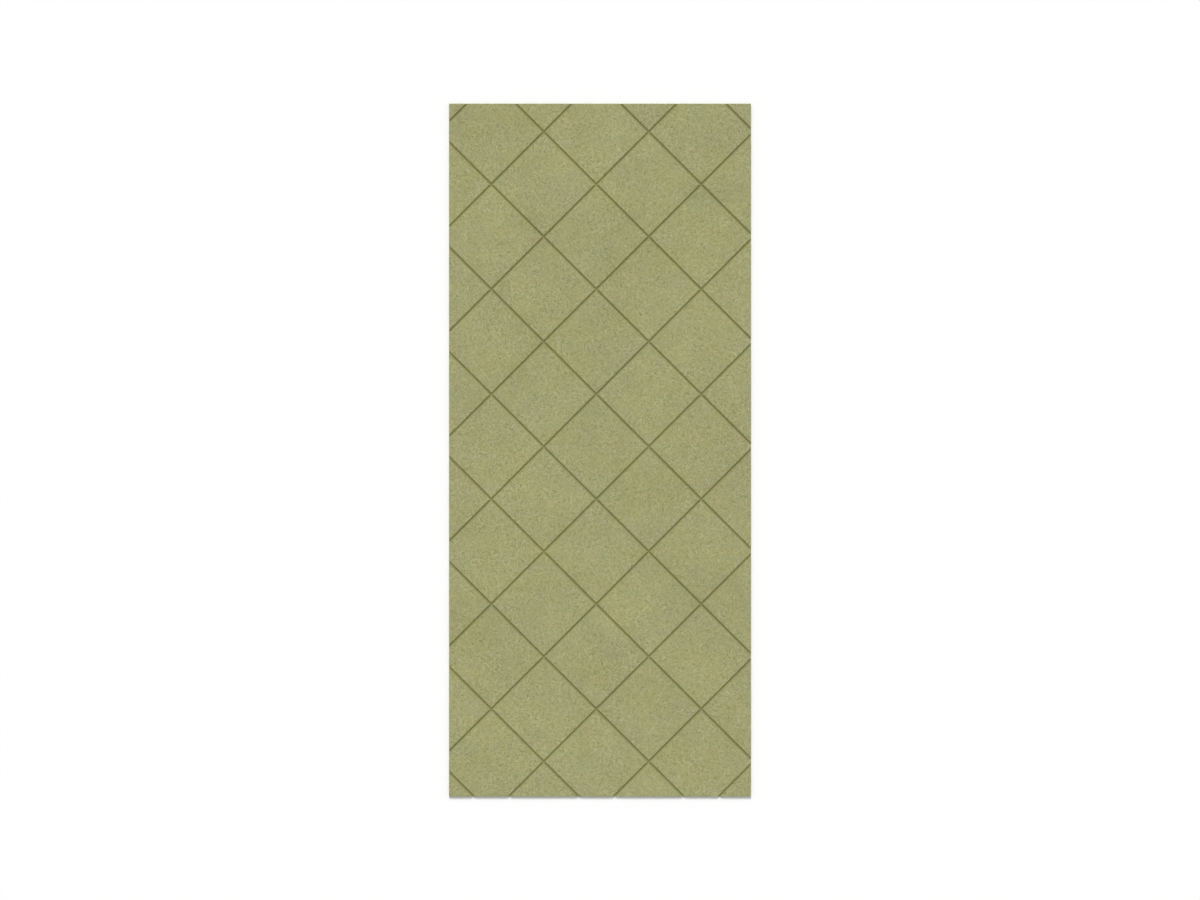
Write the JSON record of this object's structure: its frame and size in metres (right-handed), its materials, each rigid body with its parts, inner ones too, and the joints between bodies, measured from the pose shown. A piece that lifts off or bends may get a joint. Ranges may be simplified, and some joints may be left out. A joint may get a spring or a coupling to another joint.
{
  "type": "acoustic panel",
  "caption": "Flat pressed-felt wall panel with V grooves crossing its face at 45 degrees, dividing it into squares standing on their corners.",
  "frame": {"origin": "middle of the plain back face, which lies on the floor", "axes": "+X across the sheet, to the right as the panel is seen on the wall; +Y along the sheet, to the end that goes to the top of the wall; +Z out of the grooved face"},
  "size_m": [1.22, 2.8, 0.012],
  "materials": {
    "felt": "matte"
  },
  "bodies": {
    "root": {"felt_panel": "felt"}
  },
  "joints": []
}
